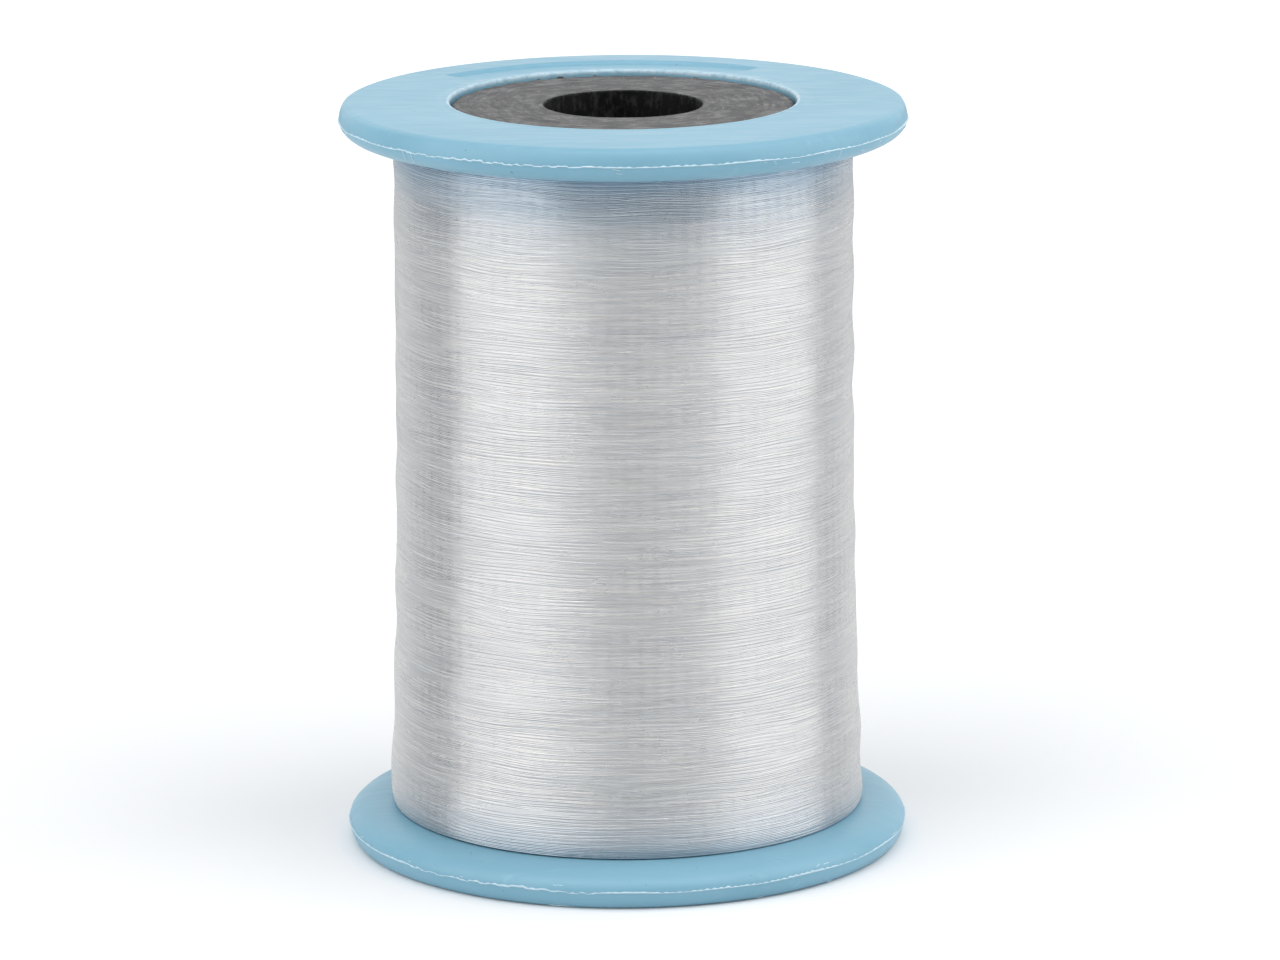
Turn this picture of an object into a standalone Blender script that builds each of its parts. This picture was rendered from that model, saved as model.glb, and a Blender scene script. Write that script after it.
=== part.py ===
"""Fishing line spool: a moulded flanged body, a bush pressed into each end of its barrel, and its line.

Metres, +Z up. The spool stands on its lower flange, with its axis on Z and its origin at the middle of
the lower flange's outer face. +Y points at the side of the upper flange with the label recess.
"""

import math

import bmesh
import bpy

# Driving dimensions
FLANGE_RADIUS = 0.0400
HEIGHT = 0.1069
FLANGE_THICKNESS = 0.0054
BORE_RADIUS = 0.0114

# Flange rim: a short shoulder outside the parting line, and a long soft cove inside it
PARTING_DEPTH = 0.00255
SHOULDER_WIDTH = 0.00155
COVE_WIDTH = 0.00625
FLASH_HEIGHT = 0.00015
FLASH_WIDTH = 0.00030
SHOULDER_SEGMENTS = 5
COVE_SEGMENTS = 6
MOUTH_SEGMENTS = 3
FILLET_SEGMENTS = 2

# Barrel: a tube with a stepped socket for a bush in each end
SOCKET_RADIUS = 0.0244
SOCKET_ROUND = 0.0006
BARREL_RADIUS = 0.0266
BARREL_BORE = 0.0234
BARREL_FILLET = 0.0010

# Bushes
BUSH_RADIUS = 0.0241
BUSH_LENGTH = 0.0200
BUSH_SUNK = 0.0009
BUSH_CHAMFER = 0.0005
GAP = 0.0003

# Label recess in the upper flange's outer face, between two arcs
RECESS_OUTER = 0.0330
RECESS_INNER = 0.0264
RECESS_DEPTH = 0.00045
RECESS_MIDDLE = math.radians(97.0)
RECESS_HALF_ANGLE = math.radians(43.4)
RECESS_ARC_SEGMENTS = 24
CUTTER_OVERRUN = 0.0020

# Line: its mean radius grows towards the lower flange, and its ends are rounded in
WINDING_RADIUS = 0.0324
WINDING_SWELL = 0.0016
SWELL_POWER = 3.2
TOP_ROUND = (0.0040, 0.0005)
BOTTOM_ROUND = (0.0036, 0.0011)
WINDING_SEGMENTS = 24

SPOOL_STEPS = 80
BUSH_STEPS = 64

PLASTIC_BLUE = (0.19, 0.43, 0.57)
BUSH_GREY = (0.13, 0.13, 0.13)
NYLON_WHITE = (0.75, 0.78, 0.80)


def clear_scene():
    for scene_object in list(bpy.data.objects):
        bpy.data.objects.remove(scene_object, do_unlink=True)


def new_collection(name):
    collection = bpy.data.collections.new(name)
    bpy.context.scene.collection.children.link(collection)
    return collection


def make_material(name, colour, roughness, metallic=0.0):
    material = bpy.data.materials.new(name)
    material.use_nodes = True
    shader = material.node_tree.nodes["Principled BSDF"]
    shader.inputs["Base Color"].default_value = (*colour, 1.0)
    shader.inputs["Roughness"].default_value = roughness
    shader.inputs["Metallic"].default_value = metallic
    return material


def quarter(start, end, segments, starts_flat=True):
    """Points of a quarter ellipse between two (radius, z) points, with both of them.

    With starts_flat it leaves the start along the radius and reaches the end along Z.
    """
    points = []
    for step in range(segments + 1):
        angle = 0.5 * math.pi * step / segments
        along, across = math.sin(angle), 1.0 - math.cos(angle)
        if not starts_flat:
            along, across = across, along
        radius = start[0] + (end[0] - start[0]) * along
        z = start[1] + (end[1] - start[1]) * across
        points.append((radius, z))
    return points


def half_body_profile():
    """The body's outline above mid height: (radius, z) from the barrel's bore up, out and down."""
    parting = HEIGHT - PARTING_DEPTH
    inner_face = HEIGHT - FLANGE_THICKNESS
    seat = HEIGHT - BUSH_SUNK - BUSH_LENGTH - GAP
    socket = [(BARREL_BORE, seat), (SOCKET_RADIUS, seat)]
    mouth_start = (SOCKET_RADIUS, HEIGHT - SOCKET_ROUND)
    mouth_end = (SOCKET_RADIUS + SOCKET_ROUND, HEIGHT)
    mouth = quarter(mouth_start, mouth_end, MOUTH_SEGMENTS, starts_flat=False)
    shoulder_start = (FLANGE_RADIUS - SHOULDER_WIDTH, HEIGHT)
    shoulder_end = (FLANGE_RADIUS, parting + FLASH_WIDTH / 2)
    shoulder = quarter(shoulder_start, shoulder_end, SHOULDER_SEGMENTS)
    flash = [(FLANGE_RADIUS + FLASH_HEIGHT, parting)]
    cove_start = (FLANGE_RADIUS, parting - FLASH_WIDTH / 2)
    cove_end = (FLANGE_RADIUS - COVE_WIDTH, inner_face)
    cove = quarter(cove_start, cove_end, COVE_SEGMENTS, starts_flat=False)
    fillet_start = (BARREL_RADIUS + BARREL_FILLET, inner_face)
    fillet_end = (BARREL_RADIUS, inner_face - BARREL_FILLET)
    fillet = quarter(fillet_start, fillet_end, FILLET_SEGMENTS)
    return socket + mouth + shoulder + flash + cove + fillet


def body_profile():
    """The whole closed outline, running down the outer side."""
    upper = half_body_profile()
    lower = [(radius, HEIGHT - z) for radius, z in reversed(upper)]
    return upper + lower


def bush_profile():
    """Closed outline of a bush that stands on z = 0, running down the outer side."""
    outer = [
        (BUSH_RADIUS - BUSH_CHAMFER, BUSH_LENGTH),
        (BUSH_RADIUS, BUSH_LENGTH - BUSH_CHAMFER),
        (BUSH_RADIUS, BUSH_CHAMFER),
        (BUSH_RADIUS - BUSH_CHAMFER, 0.0),
    ]
    bore = [
        (BORE_RADIUS + BUSH_CHAMFER, 0.0),
        (BORE_RADIUS, BUSH_CHAMFER),
        (BORE_RADIUS, BUSH_LENGTH - BUSH_CHAMFER),
        (BORE_RADIUS + BUSH_CHAMFER, BUSH_LENGTH),
    ]
    return outer + bore


def end_rounding(distance, length, drop):
    """How far the winding's surface has pulled in at this distance from its end."""
    if distance >= length:
        return 0.0
    reach = 1.0 - distance / length
    return drop * (1.0 - math.sqrt(1.0 - reach * reach))


def winding_radius(z, bottom, top):
    """The winding's outer radius at height z."""
    down = (top - z) / (top - bottom)
    level = WINDING_RADIUS + WINDING_SWELL * down**SWELL_POWER
    return level - end_rounding(top - z, *TOP_ROUND) - end_rounding(z - bottom, *BOTTOM_ROUND)


def winding_profile():
    """Closed outline of the line on the barrel, running down the outer side.

    Its points lie closer together near the ends, where the surface curves.
    """
    bottom = FLANGE_THICKNESS + GAP
    top = HEIGHT - FLANGE_THICKNESS - GAP
    outer = []
    for step in range(WINDING_SEGMENTS + 1):
        share = 0.5 * (1.0 + math.cos(math.pi * step / WINDING_SEGMENTS))
        z = bottom + (top - bottom) * share
        outer.append((winding_radius(z, bottom, top), z))
    inside = BARREL_RADIUS + GAP
    corner = inside + BARREL_FILLET
    core = [(corner, bottom), (inside, bottom + BARREL_FILLET)]
    core += [(inside, top - BARREL_FILLET), (corner, top)]
    return outer + core


def turn(name, profile, steps, material, collection):
    """An object turned from a closed (radius, z) outline about Z."""
    mesh = bpy.data.meshes.new(name)
    outline = bmesh.new()
    corners = [outline.verts.new((radius, 0.0, z)) for radius, z in profile]
    for index, corner in enumerate(corners):
        outline.edges.new((corner, corners[(index + 1) % len(corners)]))
    outline.to_mesh(mesh)
    outline.free()
    turned = bpy.data.objects.new(name, mesh)
    collection.objects.link(turned)
    turned.data.materials.append(material)
    screw = turned.modifiers.new("Turn", "SCREW")
    screw.axis = "Z"
    screw.angle = 2.0 * math.pi
    screw.steps = steps
    screw.render_steps = steps
    screw.use_merge_vertices = True
    screw.merge_threshold = 0.00001
    screw.use_smooth_shade = True
    return turned


def recess_cutter(collection):
    """A thick sector of a ring that reaches down to the recess's floor."""
    base = HEIGHT - RECESS_DEPTH
    start = RECESS_MIDDLE - RECESS_HALF_ANGLE
    step = 2.0 * RECESS_HALF_ANGLE / RECESS_ARC_SEGMENTS
    angles = [start + step * index for index in range(RECESS_ARC_SEGMENTS + 1)]
    outline = [(RECESS_OUTER, angle) for angle in angles]
    outline += [(RECESS_INNER, angle) for angle in reversed(angles)]
    shape = bmesh.new()
    corners = [shape.verts.new((r * math.cos(a), r * math.sin(a), base)) for r, a in outline]
    floor = shape.faces.new(corners)
    lifted = bmesh.ops.extrude_face_region(shape, geom=[floor])["geom"]
    lifted_corners = [item for item in lifted if isinstance(item, bmesh.types.BMVert)]
    bmesh.ops.translate(shape, verts=lifted_corners, vec=(0.0, 0.0, CUTTER_OVERRUN))
    bmesh.ops.recalc_face_normals(shape, faces=shape.faces)
    mesh = bpy.data.meshes.new("recess_cutter")
    shape.to_mesh(mesh)
    shape.free()
    cutter = bpy.data.objects.new("recess_cutter", mesh)
    collection.objects.link(cutter)
    cutter.hide_render = True
    cutter.display_type = "WIRE"
    return cutter


def make_body(parts, cutters):
    blue = make_material("moulded_plastic", PLASTIC_BLUE, 0.42)
    body = turn("spool_body", body_profile(), SPOOL_STEPS, blue, parts)
    cut = body.modifiers.new("Label recess", "BOOLEAN")
    cut.operation = "DIFFERENCE"
    cut.object = recess_cutter(cutters)
    return body


def make_bushes(parts, axis):
    grey = make_material("bush_plastic", BUSH_GREY, 0.75)
    upper = turn("upper_core_bush", bush_profile(), BUSH_STEPS, grey, parts)
    upper.location.z = HEIGHT - BUSH_SUNK - BUSH_LENGTH
    lower = turn("lower_core_bush", bush_profile(), BUSH_STEPS, grey, parts)
    lower.location.z = BUSH_SUNK
    for bush in (upper, lower):
        bush.parent = axis


def make_winding(parts, axis):
    nylon = make_material("nylon_line", NYLON_WHITE, 0.30)
    winding = turn("line_winding", winding_profile(), SPOOL_STEPS, nylon, parts)
    winding.parent = axis


def main():
    clear_scene()
    parts = new_collection("fishing_line_spool")
    cutters = new_collection("cutters")
    axis = bpy.data.objects.new("spool_axis", None)
    parts.objects.link(axis)
    body = make_body(parts, cutters)
    body.parent = axis
    make_bushes(parts, axis)
    make_winding(parts, axis)


main()
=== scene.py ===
"""Looks of the fishing line spool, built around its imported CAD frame."""

import math

import bpy
import numpy as np
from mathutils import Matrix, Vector


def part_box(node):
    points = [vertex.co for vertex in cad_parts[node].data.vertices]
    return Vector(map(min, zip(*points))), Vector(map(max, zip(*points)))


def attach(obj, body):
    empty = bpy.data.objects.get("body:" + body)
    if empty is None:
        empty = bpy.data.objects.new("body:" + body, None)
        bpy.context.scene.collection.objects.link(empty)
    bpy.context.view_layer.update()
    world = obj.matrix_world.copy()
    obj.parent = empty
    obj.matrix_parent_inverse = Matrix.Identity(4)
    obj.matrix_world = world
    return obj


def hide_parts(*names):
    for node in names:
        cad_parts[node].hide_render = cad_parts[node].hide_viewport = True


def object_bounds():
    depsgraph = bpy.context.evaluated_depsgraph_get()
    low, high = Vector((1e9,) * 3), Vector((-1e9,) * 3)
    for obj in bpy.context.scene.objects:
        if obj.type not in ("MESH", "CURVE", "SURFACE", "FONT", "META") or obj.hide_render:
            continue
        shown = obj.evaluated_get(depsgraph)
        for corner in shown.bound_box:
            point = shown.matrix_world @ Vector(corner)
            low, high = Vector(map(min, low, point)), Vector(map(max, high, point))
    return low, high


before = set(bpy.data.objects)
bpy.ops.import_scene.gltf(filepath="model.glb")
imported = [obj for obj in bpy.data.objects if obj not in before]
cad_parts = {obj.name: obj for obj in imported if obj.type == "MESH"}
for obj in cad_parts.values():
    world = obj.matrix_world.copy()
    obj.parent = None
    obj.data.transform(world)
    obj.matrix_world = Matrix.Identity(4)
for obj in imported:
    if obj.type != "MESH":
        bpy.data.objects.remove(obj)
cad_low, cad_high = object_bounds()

MM = 0.001
BODY = "root"

# The spool, in metres: what the frame gives, then the body's own outline
body_low, body_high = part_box("spool_body")
upper_bush_low, upper_bush_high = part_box("upper_core_bush")
lower_bush_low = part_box("lower_core_bush")[0]

HEIGHT = body_high.z - body_low.z
FLASH_HEIGHT = 0.15 * MM
FLANGE_RADIUS = body_high.x - FLASH_HEIGHT
FLANGE_THICKNESS = 5.4 * MM
PARTING_DEPTH = 2.55 * MM
SHOULDER_WIDTH = 1.55 * MM
COVE_WIDTH = 6.25 * MM
SOCKET_RADIUS = 24.4 * MM
SOCKET_ROUND = 0.4 * MM
BARREL_RADIUS = 26.6 * MM
BARREL_BORE = 23.4 * MM
BARREL_FILLET = 1.0 * MM
RECESS_OUTER = 33.0 * MM
RECESS_INNER = 26.4 * MM
RECESS_DEPTH = 0.50 * MM
RECESS_MIDDLE = math.radians(97.0)
RECESS_HALF_ANGLE = math.radians(43.4)
BURR_HEIGHT = 0.10 * MM         # the worn ridge round the socket's mouth, above the rest of the face
FACE_ROLL = 0.08 * MM           # how far the face drops by its shoulder
FACE_ROLL_START = 33.5 * MM
BODY_COLUMNS = 600
BUSH_RADIUS = upper_bush_high.x
BUSH_LENGTH = upper_bush_high.z - upper_bush_low.z
BUSH_EDGE = 0.35 * MM
BORE_RADIUS = 11.1 * MM
UPPER_BUSH_FACE = upper_bush_high.z + 0.20 * MM
LOWER_BUSH_FACE = lower_bush_low.z - 0.20 * MM

# The winding: its ends, its mean radius and how it swells towards the lower flange
BOTTOM = FLANGE_THICKNESS + 0.03 * MM
TOP = HEIGHT - FLANGE_THICKNESS - 0.03 * MM
WINDING_RADIUS = 32.4 * MM
WINDING_SWELL = 1.6 * MM
SWELL_POWER = 3.2
TOP_ROUND = (4.0 * MM, 0.5 * MM)
BOTTOM_ROUND = (3.0 * MM, 0.55 * MM)
LINE_RADIUS = 0.118 * MM
POINTS_PER_TURN = 96


# ---------------------------------------------------------------- waves

class Waves:
    """A smooth random field round the axis: a sum of waves with whole numbers of cycles a turn."""

    def __init__(self, seed, cycles, lengths, terms=24):
        rng = np.random.default_rng(seed)
        self.cycles = rng.integers(cycles[0], cycles[1] + 1, terms) * rng.choice((-1, 1), terms)
        self.rates = 2 * math.pi / rng.uniform(lengths[0], lengths[1], terms)
        self.phases = rng.uniform(0, 2 * math.pi, terms)
        self.scale = math.sqrt(2.0 / terms)

    def __call__(self, angle, height):
        total = 0.0
        for cycle, rate, phase in zip(self.cycles, self.rates, self.phases):
            total = total + np.cos(cycle * angle + rate * height + phase)
        return total * self.scale


class Wander:
    """A smooth random value along one strand, by the distance along it."""

    def __init__(self, seed, lengths, terms=16):
        rng = np.random.default_rng(seed)
        self.rates = 2 * math.pi / rng.uniform(lengths[0], lengths[1], terms)
        self.phases = rng.uniform(0, 2 * math.pi, terms)
        self.scale = math.sqrt(2.0 / terms)

    def __call__(self, distance):
        total = 0.0
        for rate, phase in zip(self.rates, self.phases):
            total = total + np.cos(rate * distance + phase)
        return total * self.scale


def smooth_step(low, high, value):
    share = np.clip((value - low) / (high - low), 0.0, 1.0)
    return share * share * (3.0 - 2.0 * share)


# ---------------------------------------------------------------- meshes

class Shape:
    """Gathers grids of points into one mesh of quads, with flat caps where a tube ends."""

    def __init__(self):
        self.points = []
        self.quads = []
        self.caps = []
        self.count = 0

    def grid(self, points, close_rows=False, close_columns=False, capped=False):
        rows, columns = points.shape[:2]
        index = np.arange(rows * columns).reshape(rows, columns) + self.count
        if close_rows:
            index = np.concatenate([index, index[:1]])
        if close_columns:
            index = np.concatenate([index, index[:, :1]], axis=1)
        corners = [index[:-1, :-1], index[1:, :-1], index[1:, 1:], index[:-1, 1:]]
        self.quads.append(np.stack([corner.ravel() for corner in corners], axis=1))
        if capped:
            self.caps.append(index[0, :columns])
            self.caps.append(index[-1, :columns][::-1])
        self.points.append(points.reshape(-1, 3))
        self.count += rows * columns

    def build(self, name, material):
        points = np.concatenate(self.points)
        quads = np.concatenate(self.quads)
        loops = [quads.ravel()] + self.caps
        sizes = np.concatenate([np.full(len(quads), 4), np.array([len(cap) for cap in self.caps], int)])
        starts = np.concatenate([[0], np.cumsum(sizes)[:-1]]).astype(np.int32)
        corners = np.concatenate(loops).astype(np.int32)
        mesh = bpy.data.meshes.new(name)
        mesh.vertices.add(len(points))
        mesh.vertices.foreach_set("co", points.astype(np.float32).ravel())
        mesh.loops.add(len(corners))
        mesh.loops.foreach_set("vertex_index", corners)
        mesh.polygons.add(len(sizes))
        mesh.polygons.foreach_set("loop_start", starts)
        mesh.update(calc_edges=True)
        mesh.validate()
        mesh.shade_smooth()
        mesh.materials.append(material)
        piece = bpy.data.objects.new(name, mesh)
        bpy.context.scene.collection.objects.link(piece)
        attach(piece, BODY)
        return piece


def on_circle(radius, angle, z):
    """Points round the axis; z may be one height for all of them."""
    return np.stack([radius * np.cos(angle), radius * np.sin(angle), z + 0.0 * angle], axis=-1)


def superellipse(start, end, segments, power, starts_flat=True):
    """(radius, z) points from start to end along a quarter of a superellipse, without the last one."""
    turn = 0.5 * math.pi * np.arange(segments) / segments
    along = np.sin(turn) ** (2.0 / power)
    across = 1.0 - np.cos(turn) ** (2.0 / power)
    if not starts_flat:
        along, across = across, along
    width, rise = end[0] - start[0], end[1] - start[1]
    return [(start[0] + width * a, start[1] + rise * b) for a, b in zip(along, across)]


def line_points(start, end, segments):
    share = np.arange(segments) / segments
    return [(start[0] + (end[0] - start[0]) * s, start[1] + (end[1] - start[1]) * s) for s in share]


def tube(shape, angle, z, radius, half_thickness, sides=6):
    """A round strand along points given by their angle, height and distance from the axis."""
    path = on_circle(radius, angle, z)
    tangent = np.gradient(path, axis=0)
    tangent /= np.linalg.norm(tangent, axis=1, keepdims=True)
    outward = on_circle(np.ones_like(angle), angle, np.zeros_like(angle))
    outward -= tangent * np.sum(outward * tangent, axis=1, keepdims=True)
    outward /= np.linalg.norm(outward, axis=1, keepdims=True)
    across = np.cross(tangent, outward)
    turn = np.linspace(0, 2 * math.pi, sides, endpoint=False)
    ring = path[:, None, :] + half_thickness * (
        np.cos(turn)[None, :, None] * outward[:, None, :] + np.sin(turn)[None, :, None] * across[:, None, :]
    )
    shape.grid(ring, close_columns=True, capped=True)


# ---------------------------------------------------------------- materials

class Nodes:
    """Short names for building one node material."""

    def __init__(self, name):
        self.material = bpy.data.materials.new(name)
        self.material.use_nodes = True
        self.tree = self.material.node_tree
        self.shader = self.tree.nodes["Principled BSDF"]
        self.position = self.add("ShaderNodeTexCoord").outputs["Object"]

    def add(self, kind, **settings):
        node = self.tree.nodes.new(kind)
        for key, value in settings.items():
            setattr(node, key, value)
        return node

    def put(self, socket, value):
        if isinstance(value, bpy.types.NodeSocket):
            self.tree.links.new(value, socket)
        else:
            socket.default_value = value

    def math(self, operation, first, second=0.0):
        node = self.add("ShaderNodeMath", operation=operation)
        self.put(node.inputs[0], first)
        self.put(node.inputs[1], second)
        return node.outputs[0]

    def span(self, value, low, high, to_low=0.0, to_high=1.0, kind="SMOOTHSTEP"):
        node = self.add("ShaderNodeMapRange", interpolation_type=kind)
        self.put(node.inputs["Value"], value)
        self.put(node.inputs["From Min"], low)
        self.put(node.inputs["From Max"], high)
        self.put(node.inputs["To Min"], to_low)
        self.put(node.inputs["To Max"], to_high)
        return node.outputs["Result"]

    def scaled(self, x, y, z):
        """The position on the object, in metres, times x, y and z along its own axes."""
        node = self.add("ShaderNodeVectorMath", operation="MULTIPLY")
        self.put(node.inputs[0], self.position)
        self.put(node.inputs[1], (x, y, z))
        return node.outputs[0]

    def noise(self, vector, detail=3.0, roughness=0.55, distortion=0.0):
        node = self.add("ShaderNodeTexNoise")
        self.put(node.inputs["Vector"], vector)
        self.put(node.inputs["Scale"], 1.0)
        self.put(node.inputs["Detail"], detail)
        self.put(node.inputs["Roughness"], roughness)
        self.put(node.inputs["Distortion"], distortion)
        return node.outputs["Fac"]

    def mix(self, share, first, second):
        node = self.add("ShaderNodeMix", data_type="RGBA")
        self.put(node.inputs["Factor"], share)
        self.put(node.inputs[6], first)
        self.put(node.inputs[7], second)
        return node.outputs[2]

    def place(self):
        """x, y, z and the distance from the axis."""
        split = self.add("ShaderNodeSeparateXYZ")
        self.put(split.inputs[0], self.position)
        x, y, z = split.outputs
        squares = self.math("ADD", self.math("MULTIPLY", x, x), self.math("MULTIPLY", y, y))
        return x, y, z, self.math("SQRT", squares)

    def band(self, value, rise_start, rise_end, fall_start, fall_end):
        """1 between rise_end and fall_start, falling smoothly to 0 outside them."""
        rising = self.span(value, rise_start, rise_end)
        return self.math("MULTIPLY", rising, self.span(value, fall_start, fall_end, 1.0, 0.0))

    def bump(self, height, distance, strength=1.0, below=None):
        node = self.add("ShaderNodeBump")
        node.inputs["Strength"].default_value = strength
        node.inputs["Distance"].default_value = distance
        self.put(node.inputs["Height"], height)
        if below is not None:
            self.put(node.inputs["Normal"], below)
        return node.outputs["Normal"]


def rgb(red, green, blue):
    return (red, green, blue, 1.0)


def blue_plastic():
    n = Nodes("blue_moulded_plastic")
    _, y, z, radius = n.place()
    cloud = n.noise(n.scaled(40, 90, 90), detail=4.0)
    colour = n.mix(n.span(cloud, 0.3, 0.7), rgb(0.190, 0.398, 0.515), rgb(0.208, 0.420, 0.540))
    smear = n.noise(n.scaled(160, 700, 400), detail=5.0, distortion=0.3)
    colour = n.mix(n.span(smear, 0.56, 0.80, 0.0, 0.22), colour, rgb(0.36, 0.60, 0.71))
    specks = n.noise(n.scaled(1500, 1500, 1500), detail=1.0)
    colour = n.mix(n.span(specks, 0.78, 0.82, 0.0, 0.6), colour, rgb(0.05, 0.09, 0.12))
    scuffs = n.noise(n.scaled(750, 900, 900), detail=6.0, roughness=0.7)
    beside_socket = n.band(radius, 24.5 * MM, 25.0 * MM, 26.2 * MM, 26.8 * MM)
    far_side = n.span(y, 2 * MM, 20 * MM, 0.08, 0.42)
    worn = n.math("MULTIPLY", n.math("MULTIPLY", beside_socket, n.span(scuffs, 0.40, 0.58)), far_side)
    colour = n.mix(worn, colour, rgb(0.52, 0.62, 0.68))
    # A whitened ring at the socket's mouth: partly wear, partly a painted edge highlight where the rounded
    # lip catches the light.
    at_mouth = n.math(
        "MULTIPLY",
        n.span(z, HEIGHT - 0.75 * MM, HEIGHT - 0.40 * MM),
        n.span(radius, 24.75 * MM, 24.95 * MM, 1.0, 0.0),
    )
    lip_wear_and_painted_highlight = n.math("MULTIPLY", at_mouth, n.span(scuffs, 0.35, 0.60, 0.20, 0.60))
    colour = n.mix(lip_wear_and_painted_highlight, colour, rgb(0.66, 0.77, 0.83))
    n.put(n.shader.inputs["Base Color"], colour)
    n.put(n.shader.inputs["Roughness"], n.span(smear, 0.3, 0.8, 0.34, 0.48))
    grain = n.noise(n.scaled(2600, 2600, 2600), detail=2.0)
    ripple = n.noise(n.scaled(260, 260, 260), detail=3.0)
    normal = n.bump(grain, 0.02 * MM, 0.6)
    n.put(n.shader.inputs["Normal"], n.bump(ripple, 0.03 * MM, 0.4, below=normal))
    return n.material


def flash_plastic():
    n = Nodes("whitened_flash")
    fleck = n.noise(n.scaled(1200, 1200, 1200), detail=3.0)
    n.put(n.shader.inputs["Base Color"], n.mix(fleck, rgb(0.42, 0.60, 0.70), rgb(0.70, 0.82, 0.87)))
    n.put(n.shader.inputs["Roughness"], n.span(fleck, 0.3, 0.7, 0.45, 0.7))
    n.put(n.shader.inputs["Normal"], n.bump(fleck, 0.03 * MM))
    return n.material


def bush_plastic():
    n = Nodes("rough_cut_bush")
    x, y, _, radius = n.place()
    angle = n.math("ARCTAN2", y, x)
    warp = n.noise(n.scaled(110, 110, 110), detail=4.0)
    rings = n.math("ADD", n.math("MULTIPLY", radius, 1500.0), n.math("MULTIPLY", warp, 9.0))
    sweep = n.add("ShaderNodeCombineXYZ")
    n.put(sweep.inputs[0], rings)
    n.put(sweep.inputs[1], n.math("MULTIPLY", n.math("SINE", angle), 4.0))
    n.put(sweep.inputs[2], n.math("MULTIPLY", n.math("COSINE", angle), 4.0))
    swirl = n.noise(sweep.outputs[0], detail=5.0, roughness=0.65)
    blotch = n.noise(n.scaled(270, 400, 360), detail=6.0, roughness=0.70, distortion=0.6)
    colour = n.mix(n.span(blotch, 0.38, 0.62), rgb(0.074, 0.074, 0.075), rgb(0.202, 0.200, 0.198))
    colour = n.mix(n.span(swirl, 0.38, 0.60, 0.65, 0.0), colour, rgb(0.045, 0.045, 0.046))
    scratches = n.noise(n.scaled(2600, 260, 400), detail=3.0, roughness=0.7, distortion=0.6)
    colour = n.mix(n.span(scratches, 0.60, 0.75, 0.0, 0.45), colour, rgb(0.30, 0.298, 0.295))
    specks = n.noise(n.scaled(1700, 1700, 1700), detail=2.0)
    colour = n.mix(n.span(specks, 0.72, 0.80, 0.0, 0.7), colour, rgb(0.36, 0.355, 0.35))
    # The bore's wall is painted near black: painted shade inside the hole, with a little grain in it.
    bore_painted_shade_mask = n.span(radius, BORE_RADIUS + 0.05 * MM, BORE_RADIUS + 0.35 * MM, 1.0, 0.0)
    wall = n.noise(n.scaled(900, 900, 500), detail=5.0, roughness=0.7)
    bore_painted_shade = n.mix(n.span(wall, 0.45, 0.70), rgb(0.002, 0.002, 0.002), rgb(0.030, 0.030, 0.030))
    colour = n.mix(bore_painted_shade_mask, colour, bore_painted_shade)
    n.put(n.shader.inputs["Base Color"], colour)
    n.put(n.shader.inputs["Roughness"], n.span(blotch, 0.3, 0.7, 0.50, 0.68))
    n.put(n.shader.inputs["Specular IOR Level"], 0.2)
    grit = n.noise(n.scaled(1800, 1800, 1800), detail=4.0)
    normal = n.bump(swirl, 0.06 * MM, 0.8)
    n.put(n.shader.inputs["Normal"], n.bump(grit, 0.05 * MM, 0.8, below=normal))
    return n.material


def nylon(name, light, dark):
    """Clear line that looks white where it is thick and blue-grey where the moulding shows through; the
    blue near both flanges is painted shade and painted reflection.
    """
    n = Nodes(name)
    z = n.place()[2]
    streak = n.noise(n.scaled(110, 110, 4200), detail=3.0, roughness=0.65)
    broad = n.noise(n.scaled(40, 40, 200), detail=3.0)
    colour = n.mix(n.span(streak, 0.30, 0.70), dark, light)
    colour = n.mix(n.span(broad, 0.35, 0.7, 0.0, 0.12), colour, rgb(0.72, 0.73, 0.74))
    # Bluer towards both flanges, with a ragged edge: painted shade under the upper flange and painted
    # reflection of the blue flanges.
    top_painted_shade_and_reflection = n.math("POWER", n.span(z, TOP - 16 * MM, TOP, kind="LINEAR"), 2.6)
    foot_painted_reflection = n.math("POWER", n.span(z, BOTTOM + 9 * MM, BOTTOM, kind="LINEAR"), 1.7)
    ends = n.math("MAXIMUM", top_painted_shade_and_reflection, n.math("MULTIPLY", foot_painted_reflection, 0.55))
    flange_painted_shade_and_reflection = n.math("MULTIPLY", ends, n.span(broad, 0.2, 0.8, 0.50, 0.95))
    colour = n.mix(flange_painted_shade_and_reflection, colour, rgb(0.23, 0.37, 0.50))
    n.put(n.shader.inputs["Base Color"], colour)
    n.put(n.shader.inputs["Roughness"], n.span(broad, 0.3, 0.7, 0.24, 0.30))
    n.shader.inputs["Metallic"].default_value = 0.80
    n.put(n.shader.inputs["Normal"], n.bump(streak, 0.02 * MM, 0.4))
    return n.material


def floor_paint():
    """White paper that the exposure blows out, more so further back."""
    n = Nodes("white_studio_floor")
    n.put(n.shader.inputs["Base Color"], rgb(0.84, 0.845, 0.85))
    n.put(n.shader.inputs["Roughness"], 0.9)
    radius = n.place()[3]
    near_glow = n.span(radius, 0.05, 1.1, 0.05, 0.62, kind="LINEAR")
    glow = n.math("ADD", near_glow, n.span(radius, 0.7, 2.2, 0.0, 0.6, kind="LINEAR"))
    seen = n.add("ShaderNodeLightPath").outputs["Is Camera Ray"]
    n.put(n.shader.inputs["Emission Color"], rgb(1.0, 1.0, 1.0))
    n.put(n.shader.inputs["Emission Strength"], n.math("MULTIPLY", glow, seen))
    return n.material


# ---------------------------------------------------------------- body

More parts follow.
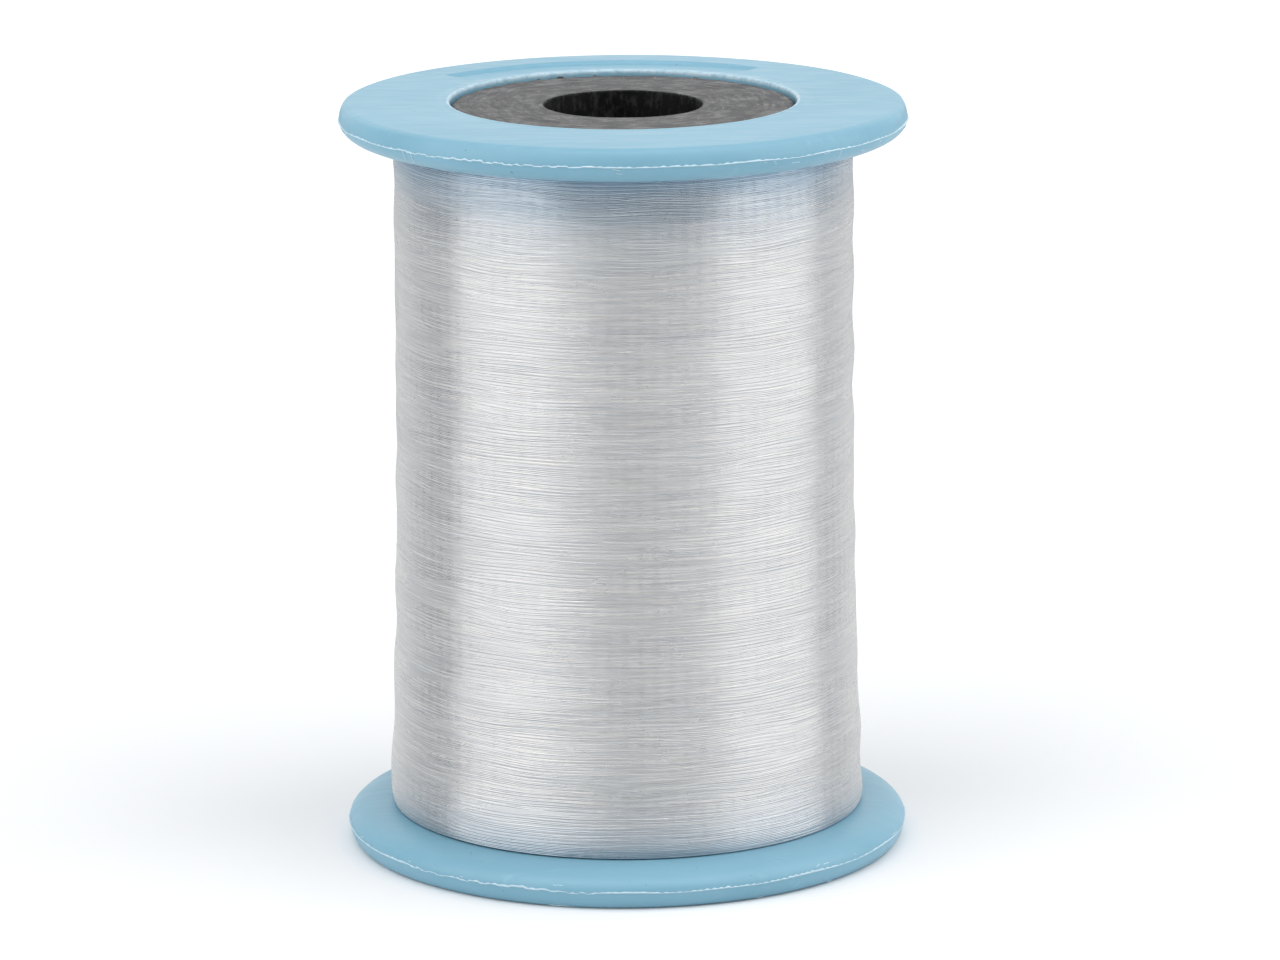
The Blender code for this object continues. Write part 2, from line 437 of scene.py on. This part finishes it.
def body_rows():
    """The body's closed outline, from the middle of the bore up, out, down the outside and back."""
    def half(face_segments):
        parting = HEIGHT - PARTING_DEPTH
        inner_face = HEIGHT - FLANGE_THICKNESS
        seat = upper_bush_low.z - 0.3 * MM
        mouth = (SOCKET_RADIUS, HEIGHT - SOCKET_ROUND)
        face = (SOCKET_RADIUS + SOCKET_ROUND, HEIGHT)
        shoulder = (FLANGE_RADIUS - SHOULDER_WIDTH, HEIGHT)
        rim = (FLANGE_RADIUS, parting)
        cove_end = (FLANGE_RADIUS - COVE_WIDTH, inner_face)
        fillet = (BARREL_RADIUS + BARREL_FILLET, inner_face)
        barrel = (BARREL_RADIUS, inner_face - BARREL_FILLET)
        rows = line_points((BARREL_BORE, HEIGHT * 0.55), (BARREL_BORE, seat), 2)
        rows += line_points((BARREL_BORE, seat), (SOCKET_RADIUS, seat), 1)
        rows += line_points((SOCKET_RADIUS, seat), mouth, 4)
        rows += superellipse(mouth, face, 5, 2.0, starts_flat=False)
        rows += line_points(face, shoulder, face_segments)
        rows += superellipse(shoulder, rim, 12, 1.93)
        rows += superellipse(rim, cove_end, 18, 2.13, starts_flat=False)
        rows += line_points(cove_end, fillet, 2)
        rows += superellipse(fillet, barrel, 3, 2.0)
        rows += [barrel]
        return rows
    upper = half(52)
    lower = [(radius, HEIGHT - z) for radius, z in reversed(half(8))]
    return np.array(upper + lower)


def recess_share(radius, angle):
    """1 inside the label recess, 0 outside, with softly rounded walls."""
    off = np.abs((angle - RECESS_MIDDLE + math.pi) % (2 * math.pi) - math.pi)
    across = np.minimum(RECESS_OUTER - radius, radius - RECESS_INNER)
    inside = np.minimum(across, (RECESS_HALF_ANGLE - off) * radius)
    return smooth_step(-0.08 * MM, 0.26 * MM, inside)


def make_body(material):
    rows = body_rows()
    angle = np.linspace(0, 2 * math.pi, BODY_COLUMNS, endpoint=False)[None, :]
    radius = rows[:, :1] + 0.0 * angle
    z = rows[:, 1:] + 0.0 * angle
    uneven = Waves(3, (1, 7), (9 * MM, 40 * MM))
    rim = smooth_step(SOCKET_RADIUS + 1.0 * MM, FLANGE_RADIUS, radius)
    radius = radius - np.abs(uneven(angle, z)) * rim * 0.05 * MM
    on_face = smooth_step(HEIGHT - 0.6 * MM, HEIGHT - 0.05 * MM, z)
    dish = Waves(5, (1, 9), (12 * MM, 30 * MM))
    uneven_face = 0.02 * MM * np.clip(1 + 0.5 * dish(angle, radius), 0.0, None)
    shoulder = FLANGE_RADIUS - SHOULDER_WIDTH
    roll = FACE_ROLL * np.clip((radius - FACE_ROLL_START) / (shoulder - FACE_ROLL_START), 0.0, 1.0) ** 2.5
    mouth = SOCKET_RADIUS + SOCKET_ROUND
    burr = BURR_HEIGHT * smooth_step(mouth, mouth + 0.4 * MM, radius)
    recess = RECESS_DEPTH * recess_share(radius, angle)
    z = z - on_face * (recess + uneven_face + burr + roll)
    shape = Shape()
    shape.grid(on_circle(radius, angle, z), close_rows=True, close_columns=True)
    piece = shape.build("moulded_body", material)
    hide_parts("spool_body")


def make_flash(name, material, z_parting, lean, thickness, seed):
    """The thin wavy fin that the mould left round a flange's rim, with small steps on one side."""
    columns = 2400
    angle = np.linspace(-math.pi, math.pi, columns, endpoint=False)
    fine = Waves(seed, (60, 260), (1.0, 2.0), terms=40)(angle, 0.0)
    slow = Waves(seed + 1, (3, 24), (1.0, 2.0))(angle, 0.0)
    stepped = np.tanh(5.0 * Waves(seed + 2, (40, 110), (1.0, 2.0))(angle, 0.0))
    on_left = smooth_step(-2.6, -2.4, angle) * smooth_step(-1.55, -1.75, angle)
    tall = np.clip(0.62 + 0.14 * fine + 0.20 * slow, 0.25, 1.0) * FLASH_HEIGHT
    height = z_parting + (0.07 * slow + 0.02 * fine + 0.07 * stepped * on_left) * MM
    half = np.clip(1.0 + 0.25 * fine + 0.30 * slow, 0.45, 1.7) * thickness / 2
    root = FLANGE_RADIUS - 0.20 * MM
    section = [
        (root + 0.0 * angle, height),
        (FLANGE_RADIUS - 0.03 * MM + 0.0 * angle, height - half),
        (FLANGE_RADIUS + 0.85 * tall, height - 0.6 * half + lean * tall),
        (FLANGE_RADIUS + tall, height + 0.1 * half + lean * tall),
        (FLANGE_RADIUS + 0.75 * tall, height + 0.7 * half + lean * tall),
        (FLANGE_RADIUS - 0.03 * MM + 0.0 * angle, height + half),
    ]
    points = np.stack([on_circle(radius, angle, z) for radius, z in section])
    shape = Shape()
    shape.grid(points, close_rows=True, close_columns=True)
    shape.build(name, material)


def rim_radius(depth):
    """The rim's radius at a depth past the parting line, towards the winding."""
    share = np.clip(depth / (FLANGE_THICKNESS - PARTING_DEPTH), 0.0, 1.0)
    return FLANGE_RADIUS - COVE_WIDTH * (1.0 - (1.0 - share**2.13) ** (1 / 2.13))


def make_split_ticks(material):
    """The short witness lines that the mould's slides left below the upper parting line."""
    shape = Shape()
    depth = np.linspace(0.0, 1.5 * MM, 14)
    for middle in (-138.8, -136.6, -42.0):
        angle = math.radians(middle) + 0.004 * np.sin(depth / (0.5 * MM))
        tube(shape, angle, HEIGHT - PARTING_DEPTH - depth, rim_radius(depth) - 0.02 * MM, 0.07 * MM)
    shape.build("slide_witness_lines", material)


# Torn flakes on the edge the spool stands on: degrees round the axis, half-length and half-thickness in mm
FLAKES = (
    (-104.0, 1.5, 0.12),
    (-101.8, 0.6, 0.07),
    (-43.6, 0.5, 0.11),
    (-61.8, 0.5, 0.10),
    (-150.0, 0.7, 0.07),
    (12.0, 1.0, 0.10),
    (75.0, 0.8, 0.09),
    (140.0, 1.2, 0.08),
)


def make_chips(material, count=54, seed=90):
    """Small whitened nicks beside the flash, and torn flakes on the edge the spool stands on."""
    rng = np.random.default_rng(seed)
    shape = Shape()
    share = np.linspace(-1, 1, 8)
    for index in range(count):
        middle = rng.uniform(-math.pi, math.pi)
        half_length = rng.uniform(0.15, 0.8) * MM / FLANGE_RADIUS
        below = 0.20 + abs(rng.normal(0, 0.4))
        slant = rng.uniform(-0.10, 0.10) * share
        depth = (below + slant + rng.uniform(-0.04, 0.04, 8)) * MM
        z = PARTING_DEPTH + depth if index % 2 else HEIGHT - PARTING_DEPTH - depth
        half_thickness = rng.uniform(0.03, 0.06) * MM
        radius = rim_radius(depth) - 0.6 * half_thickness
        tube(shape, middle + share * half_length, z, radius, half_thickness, sides=5)
    for middle, half_length, half_thickness in FLAKES:
        angle = math.radians(middle) + share * half_length * MM / FLANGE_RADIUS
        z = (0.24 + 0.08 * np.sin(5.0 * share)) * MM
        tube(shape, angle, z, FLANGE_RADIUS - 0.98 * MM + 0.0 * share, half_thickness * MM, sides=5)
    shape.build("rim_nicks", material)


# ---------------------------------------------------------------- bushes

def make_bush(name, node, material, face_z, facing, seed):
    """A bush whose seen face is at face_z; facing is 1 up, -1 down."""
    columns = 420
    angle = np.linspace(0, 2 * math.pi, columns, endpoint=False)[None, :]
    worn = Waves(seed, (2, 14), (5 * MM, 9 * MM))
    nicked = Waves(seed + 3, (20, 110), (1.0, 2.0), terms=40)
    lip = (0.24 + 0.04 * worn(angle, 0.0) + 0.05 * np.clip(nicked(angle, 0.0), -1.0, 2.5)) * MM
    radii = [BUSH_RADIUS + 0.0 * angle, BUSH_RADIUS + 0.0 * angle]
    depths = [BUSH_LENGTH - BUSH_EDGE + 0.0 * angle, BUSH_LENGTH * 0.5 + 0.0 * angle]
    for share in np.linspace(0, 1, 7)[::-1]:
        turn = 0.5 * math.pi * share
        radii.append(BUSH_RADIUS - BUSH_EDGE * (1 - math.sin(turn)) + 0.0 * angle)
        depths.append(BUSH_EDGE * (1 - math.cos(turn)) + 0.0 * angle)
    start, end = BUSH_RADIUS - BUSH_EDGE, BORE_RADIUS + lip
    for share in np.linspace(0, 1, 40)[1:-1]:
        radii.append(start + (end - start) * share)
        depths.append(0.0 * angle)
    for share in np.linspace(0, 1, 9):
        turn = 0.5 * math.pi * share
        radii.append(BORE_RADIUS + lip * (1 - math.sin(turn)))
        depths.append(lip * (1 - math.cos(turn)) * 1.3)
    for share in (0.25, 0.5, 0.75, 1.0):
        radii.append(BORE_RADIUS + 0.0 * angle)
        depths.append(1.5 * MM + (BUSH_LENGTH - 1.5 * MM) * share + 0.0 * angle)
    radius = np.concatenate(radii)
    depth = np.concatenate(depths)
    swirl = Waves(seed + 1, (0, 5), (0.9 * MM, 4 * MM), terms=30)
    ragged = Waves(seed + 2, (15, 90), (1.0, 2.0), terms=40)(angle, 0.0)
    near_face = smooth_step(1.0 * MM, 0.1 * MM, depth)
    at_edge = smooth_step(BUSH_RADIUS - 0.8 * MM, BUSH_RADIUS, radius)
    depth = depth + near_face * 0.03 * MM * (1.0 + np.abs(swirl(angle, radius)))
    depth = depth + near_face * at_edge * 0.08 * MM * np.clip(1.0 + ragged, 0.0, None)
    radius = radius - near_face * at_edge * 0.07 * MM * np.clip(1.0 + ragged, 0.0, None)
    z = face_z - facing * depth
    shape = Shape()
    points = on_circle(radius, angle, z)
    shape.grid(points if facing > 0 else points[::-1], close_rows=True, close_columns=True)
    piece = shape.build(name, material)
    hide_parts(node)


# Crumbs on the upper bush's outer edge: degrees round the axis, half-length and half-thickness in mm
CRUMBS = (
    (112.5, 0.5, 0.14),
    (100.0, 0.3, 0.07),
    (121.0, 0.3, 0.08),
    (64.0, 0.4, 0.06),
    (8.0, 0.4, 0.09),
    (-170.0, 0.4, 0.08),
    (-20.0, 0.3, 0.06),
)


def make_burrs(material, face_z):
    """Crumbs and curls of plastic that the cut left on the upper bush's outer edge."""
    shape = Shape()
    share = np.linspace(-1, 1, 9)
    for middle, half_length, half_thickness in CRUMBS:
        angle = math.radians(middle) + share * half_length * MM / BUSH_RADIUS
        rise = 0.7 * half_thickness * np.cos(1.5 * share) - 0.06 + 0.03 * np.sin(6.0 * share)
        radius = BUSH_RADIUS - (0.38 + 0.08 * share) * MM
        tube(shape, angle, face_z + rise * MM, radius, half_thickness * MM)
    shape.build("upper_bush_burrs", material)


# ---------------------------------------------------------------- winding

scallops = Waves(21, (0, 2), (8 * MM, 15 * MM), terms=12)
settle = Waves(22, (3, 14), (5 * MM, 14 * MM), terms=30)
drift = Waves(23, (3, 16), (8 * MM, 26 * MM), terms=36)


def end_rounding(distance, length, drop):
    reach = 1.0 - np.clip(distance / length, 0.0, 1.0)
    return drop * (1.0 - np.sqrt(1.0 - reach * reach))


def winding_surface(angle, z):
    """The winding's outer radius at an angle and a height."""
    down = np.clip((TOP - z) / (TOP - BOTTOM), 0.0, 1.0)
    level = WINDING_RADIUS + WINDING_SWELL * down**SWELL_POWER
    level = level - end_rounding(TOP - z, *TOP_ROUND) - end_rounding(z - BOTTOM, *BOTTOM_ROUND)
    return level + 0.065 * MM * scallops(angle, z) + 0.012 * MM * settle(angle, z)


def make_packing(material):
    """The lower layers, as one close surface just under the turns that show."""
    columns, count = 240, 300
    angle = np.linspace(0, 2 * math.pi, columns, endpoint=False)[None, :]
    z = np.linspace(TOP, BOTTOM, count)[:, None]
    outer = winding_surface(angle, z) - 0.06 * MM
    inner = BARREL_RADIUS + 0.3 * MM
    corner = inner + BARREL_FILLET
    rows = [on_circle(outer, angle, z + 0.0 * angle)]
    for radius, height in ((corner, BOTTOM), (inner, BOTTOM + BARREL_FILLET),
                           (inner, TOP - BARREL_FILLET), (corner, TOP)):
        rows.append(on_circle(radius + 0.0 * angle, angle, height))
    shape = Shape()
    shape.grid(np.concatenate(rows), close_rows=True, close_columns=True)
    piece = shape.build("line_packing", material)
    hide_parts("line_winding")


def make_layer(name, material, turns, rising, groups, lift, wobble, jitter, seed):
    """One pass of the line along the barrel: a wandering helix, split into groups of turns."""
    total = turns * POINTS_PER_TURN
    along = np.arange(total + 1) / POINTS_PER_TURN
    share = along / turns
    if not rising:
        share = 1.0 - share
    angle = along * 2 * math.pi
    distance = angle * WINDING_RADIUS
    lowest, highest = BOTTOM + LINE_RADIUS, TOP - LINE_RADIUS
    z = lowest + (highest - lowest) * share
    loose = smooth_step(0.0, 3.0 * MM, np.minimum(z - BOTTOM, TOP - z))
    stray = Wander(seed, (18 * MM, 90 * MM))(distance)
    z = z + loose * (wobble * drift(angle, z) + jitter * stray)
    z = np.clip(z, lowest, highest)
    hump = Wander(seed + 1, (6 * MM, 30 * MM))(distance)
    radius = winding_surface(angle, z) - LINE_RADIUS + lift + 0.008 * MM * hump
    for group in range(groups):
        start = int(total * group / groups)
        end = int(total * (group + 1) / groups) + 1
        shape = Shape()
        tube(shape, angle[start:end], z[start:end], radius[start:end], LINE_RADIUS)
        shape.build(f"{name}_{group + 1}", material)


def make_strays(material, count=6, seed=40):
    """Runs of line that cross over their neighbours and dive back under them."""
    rng = np.random.default_rng(seed)
    shape = Shape()
    for _ in range(count):
        middle = rng.uniform(0, 2 * math.pi)
        height = rng.uniform(BOTTOM + 3 * MM, TOP - 3 * MM)
        half_angle = rng.uniform(1.2, 2.6) / 2
        slope = rng.normal(0, 0.016)
        bend = rng.normal(0, 0.25) * MM
        strands = rng.choice((1, 1, 1, 1, 2))
        for strand in range(strands):
            share = np.linspace(-1, 1, int(half_angle * 48))
            angle = middle + share * half_angle
            z = height + slope * WINDING_RADIUS * share * half_angle + bend * share**2
            z = z + strand * 0.30 * MM
            rise = (0.05 - 0.35 * share**4) * MM
            radius = winding_surface(angle, z) - LINE_RADIUS + rise
            tube(shape, angle, z, radius, LINE_RADIUS * 0.9)
    shape.build("line_strays", material)


# ---------------------------------------------------------------- studio

def make_floor():
    bpy.ops.mesh.primitive_plane_add(size=8.0, location=(0, 0, cad_low.z - 0.02 * MM))
    floor = bpy.context.object
    floor.name = "studio_floor"
    floor.data.materials.append(floor_paint())


def make_softbox(name, azimuth, elevation, distance, width, height, radiance):
    """A soft area light; azimuth 0 is on the camera's side, positive to its right."""
    light = bpy.data.lights.new(name, "AREA")
    light.shape = "RECTANGLE"
    light.size = width
    light.size_y = height
    light.energy = radiance * math.pi * width * height
    lamp = bpy.data.objects.new(name, light)
    turn, rise = math.radians(azimuth), math.radians(elevation)
    target = Vector((0, 0, HEIGHT / 2))
    way = Vector((math.sin(turn) * math.cos(rise), -math.cos(turn) * math.cos(rise), math.sin(rise)))
    lamp.location = target + way * distance
    lamp.rotation_euler = way.to_track_quat("Z", "Y").to_euler()
    bpy.context.scene.collection.objects.link(lamp)


def make_world(front, back, seen=1.05):
    """White surroundings, brighter behind the spool than in front of it, and plain white to look at."""
    world = bpy.data.worlds.new("studio_air")
    world.use_nodes = True
    tree = world.node_tree
    background = tree.nodes["Background"]
    coordinates = tree.nodes.new("ShaderNodeTexCoord")
    split = tree.nodes.new("ShaderNodeSeparateXYZ")
    spread = tree.nodes.new("ShaderNodeMapRange")
    spread.interpolation_type = "SMOOTHSTEP"
    spread.inputs["From Min"].default_value = 0.22
    spread.inputs["From Max"].default_value = 0.92
    spread.inputs["To Min"].default_value = front
    spread.inputs["To Max"].default_value = back
    tree.links.new(coordinates.outputs["Generated"], split.inputs[0])
    tree.links.new(split.outputs["Y"], spread.inputs["Value"])
    path = tree.nodes.new("ShaderNodeLightPath")
    choose = tree.nodes.new("ShaderNodeMix")
    choose.inputs["B"].default_value = seen
    tree.links.new(path.outputs["Is Camera Ray"], choose.inputs["Factor"])
    tree.links.new(spread.outputs["Result"], choose.inputs["A"])
    tree.links.new(choose.outputs["Result"], background.inputs["Strength"])
    tone = tree.nodes.new("ShaderNodeMix")
    tone.data_type = "RGBA"
    tone.inputs[6].default_value = (0.74, 0.87, 1.0, 1.0)
    tone.inputs[7].default_value = (1.0, 1.0, 1.0, 1.0)
    tree.links.new(choose.outputs["Result"], tone.inputs["Factor"])
    tree.links.new(tone.outputs[2], background.inputs["Color"])
    bpy.context.scene.world = world


def make_camera():
    camera_data = bpy.data.cameras.new("camera")
    camera_data.sensor_width = 36.0
    camera_data.lens = 180.0
    camera_data.clip_start = 0.05
    camera_data.clip_end = 20.0
    camera = bpy.data.objects.new("camera", camera_data)
    camera.location = (0.0021, -0.8876, 0.2600)
    camera.rotation_euler = (math.radians(90 - 13.2), 0.0, 0.0)
    camera.rotation_euler.rotate_axis("Z", -0.0051)
    bpy.context.scene.collection.objects.link(camera)
    bpy.context.scene.camera = camera


# ---------------------------------------------------------------- scene

make_camera()
bpy.context.scene.view_settings.view_transform = "Standard"
make_world(front=0.13, back=1.05)
make_softbox("softbox_left", azimuth=-62, elevation=33, distance=1.1, width=1.27, height=1.6, radiance=1.72)
make_softbox("softbox_right", azimuth=79, elevation=33, distance=1.1, width=1.36, height=1.6, radiance=1.72)
make_softbox("softbox_top", azimuth=0, elevation=82, distance=1.3, width=1.0, height=0.9, radiance=2.0)
make_softbox("softbox_front", azimuth=0, elevation=48, distance=1.5, width=1.3, height=0.6, radiance=0.85)
make_floor()

blue = blue_plastic()
white_flash = flash_plastic()
grey = bush_plastic()
make_body(blue)
make_flash("upper_rim_flash", white_flash, HEIGHT - PARTING_DEPTH, lean=-0.3, thickness=0.15 * MM, seed=50)
make_flash("lower_rim_flash", white_flash, PARTING_DEPTH, lean=0.3, thickness=0.20 * MM, seed=60)
make_split_ticks(white_flash)
make_chips(white_flash)
make_bush("upper_bush", "upper_core_bush", grey, UPPER_BUSH_FACE, facing=1, seed=70)
make_bush("lower_bush", "lower_core_bush", grey, LOWER_BUSH_FACE, facing=-1, seed=80)
make_burrs(grey, UPPER_BUSH_FACE)
# The same line in three copies, darker for the packed layers and the under pass and lighter for the outer
# pass: painted shade and light by depth.
make_packing(nylon("packed_nylon_painted_shade", light=rgb(0.62, 0.605, 0.59), dark=rgb(0.48, 0.49, 0.505)))
under = nylon("nylon_under_painted_shade", light=rgb(0.65, 0.635, 0.62), dark=rgb(0.53, 0.54, 0.555))
over = nylon("nylon_over_painted_light", light=rgb(0.68, 0.665, 0.65), dark=rgb(0.57, 0.573, 0.58))
make_layer("line_under", under, turns=405, rising=True, groups=4,
           lift=0.0, wobble=0.08 * MM, jitter=0.04 * MM, seed=101)
make_layer("line_over", over, turns=190, rising=False, groups=2,
           lift=0.010 * MM, wobble=0.12 * MM, jitter=0.05 * MM, seed=111)
make_strays(over)
